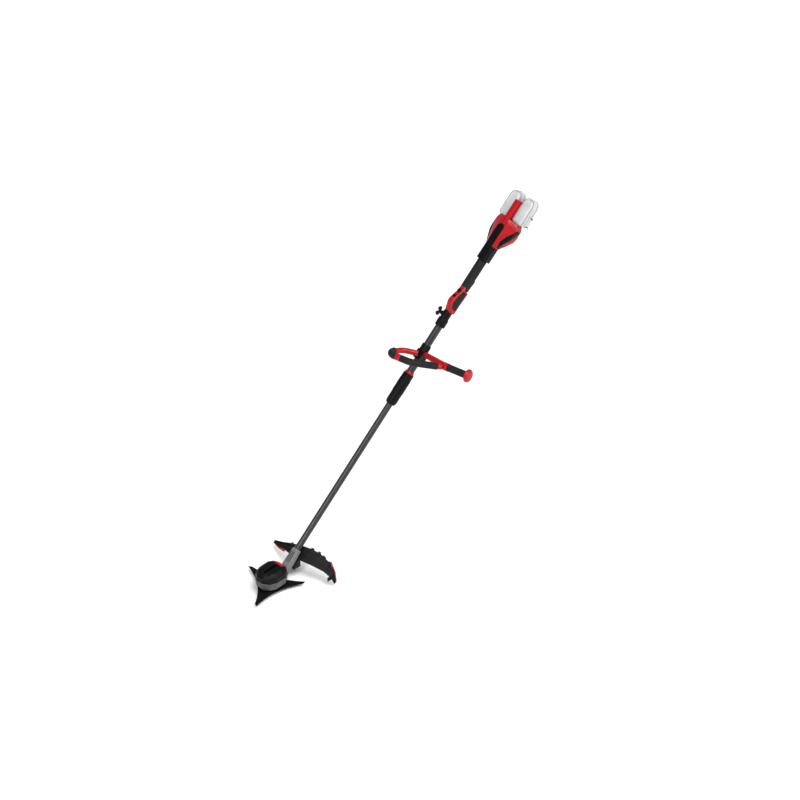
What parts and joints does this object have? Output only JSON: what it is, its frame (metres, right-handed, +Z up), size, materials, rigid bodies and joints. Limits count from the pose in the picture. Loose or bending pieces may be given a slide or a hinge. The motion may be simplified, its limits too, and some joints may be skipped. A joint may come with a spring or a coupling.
{
  "type": "string trimmer",
  "caption": "Cordless string trimmer and brush cutter with a motor head, toothed blade, guard, telescopic split shaft, loop handle with barrier bar and twin slide-on batteries.",
  "frame": {"origin": "on the blade spindle's axis, level with the glide cup's bottom face, which is the tool's lowest point", "axes": "+Z up along the blade spindle; +X from the head towards the operator, below the rising shaft; +Y to the operator's right"},
  "size_m": [1.4134, 0.3824, 1.1103],
  "materials": {
    "red_plastic": "moulded, semi-gloss red",
    "black_plastic": "moulded, fine grain, black",
    "grey_plastic": "moulded, satin grey",
    "rubber": "soft-touch overmould",
    "tube_aluminium": "anodised dark grey",
    "blade_steel": "black-coated steel",
    "steel": "turned steel",
    "cup_steel": "pressed steel",
    "pack_plastic": "pale translucent grey",
    "cell_steel": "steel cans",
    "board": "coated circuit board"
  },
  "bodies": {
    "handle": {"battery_housing_left": "red_plastic", "battery_housing_right": "red_plastic", "battery_spine": "red_plastic", "top_panel": "black_plastic", "side_vents": "black_plastic", "control_board": "board", "neck_collar": "black_plastic", "grip_core": "black_plastic", "rear_grip": "rubber", "trigger_housing_left": "red_plastic", "trigger_housing_right": "red_plastic", "grip_inlays": "rubber", "trigger_switch": "black_plastic", "coupler_body": "black_plastic", "coupler_sleeve": "black_plastic", "coupler_stud": "steel"},
    "upper_shaft": {"upper_tube": "tube_aluminium", "lock_body": "black_plastic", "lock_collet": "black_plastic", "lock_ring": "red_plastic"},
    "loop_handle": {"loop_frame": "red_plastic", "loop_grips": "rubber", "loop_hub": "red_plastic", "bar_grip": "rubber", "bar_cap": "red_plastic", "clamp_base": "black_plastic", "clamp_cap": "black_plastic", "clamp_screws": "steel"},
    "twist_lock": {"twist_sleeve": "black_plastic"},
    "lower_shaft": {"lower_tube": "tube_aluminium", "neck_left": "grey_plastic", "neck_right": "grey_plastic", "motor_housing": "grey_plastic", "motor_cover": "black_plastic", "cover_clip": "red_plastic", "motor_bracket": "tube_aluminium", "stator": "steel", "spindle_bearings": "steel", "guard": "black_plastic", "guard_trims": "red_plastic", "line_cutter": "blade_steel", "head_screws": "steel"},
    "cutter": {"spindle": "steel", "rotor": "steel", "upper_flange": "steel", "blade": "blade_steel", "clamp_washer": "steel", "glide_cup": "cup_steel", "blade_nut": "steel"},
    "wing_knob": {"wing_knob": "black_plastic"},
    "trigger": {"trigger": "black_plastic"},
    "lockout_button": {"lockout_button": "black_plastic"},
    "speed_button": {"speed_button": "black_plastic"},
    "battery_left": {"battery_case_left": "pack_plastic", "battery_cells_left": "cell_steel"},
    "battery_right": {"battery_case_right": "pack_plastic", "battery_cells_right": "cell_steel"},
    "latch_left": {"battery_latch_left": "pack_plastic"},
    "latch_right": {"battery_latch_right": "pack_plastic"}
  },
  "joints": [
    {"name": "shaft_split", "type": "slide", "parent": "handle", "child": "upper_shaft", "axis": [-0.7431, 0, -0.6691], "range_m": [0, 0.055]},
    {"name": "loop_handle_slide", "type": "slide", "parent": "upper_shaft", "child": "loop_handle", "axis": [0.7431, 0, 0.6691], "range_m": [-0.02, 0.04]},
    {"name": "twist_lock_turn", "type": "hinge", "parent": "upper_shaft", "child": "twist_lock", "pos_m": [0.64515, 0, 0.56268], "axis": [0.7431, 0, 0.6691], "range_deg": [0, 90]},
    {"name": "telescope", "type": "slide", "parent": "upper_shaft", "child": "lower_shaft", "axis": [0.7431, 0, 0.6691], "range_m": [0, 0.15]},
    {"name": "blade_spin", "type": "hinge", "parent": "lower_shaft", "child": "cutter", "pos_m": [0, 0, 0.016], "axis": [0, 0, 1], "continuous": true},
    {"name": "wing_knob_turn", "type": "hinge", "parent": "handle", "child": "wing_knob", "pos_m": [0.87516, 0.02348, 0.7765], "axis": [-0.1391, 0.9781, 0.1545], "range_deg": [0, 360]},
    {"name": "trigger_pull", "type": "hinge", "parent": "handle", "child": "trigger", "pos_m": [0.97742, 0, 0.83629], "axis": [0, -1, 0], "range_deg": [0, 9], "stiffness_Nm_per_rad": 1.5},
    {"name": "lockout_press", "type": "slide", "parent": "handle", "child": "lockout_button", "axis": [0.3746, 0, -0.9272], "range_m": [0, 0.003], "stiffness_N_per_m": 500},
    {"name": "speed_press", "type": "slide", "parent": "handle", "child": "speed_button", "axis": [0.309, 0, -0.9511], "range_m": [0, 0.003], "stiffness_N_per_m": 500},
    {"name": "battery_left_slide", "type": "slide", "parent": "handle", "child": "battery_left", "axis": [0.7431, 0, 0.6691], "range_m": [0, 0.08]},
    {"name": "battery_right_slide", "type": "slide", "parent": "handle", "child": "battery_right", "axis": [0.7431, 0, 0.6691], "range_m": [0, 0.08]},
    {"name": "latch_left_press", "type": "slide", "parent": "battery_left", "child": "latch_left", "axis": [0, 1, 0], "range_m": [0, 0.003], "stiffness_N_per_m": 800},
    {"name": "latch_right_press", "type": "slide", "parent": "battery_right", "child": "latch_right", "axis": [0, -1, 0], "range_m": [0, 0.003], "stiffness_N_per_m": 800}
  ]
}
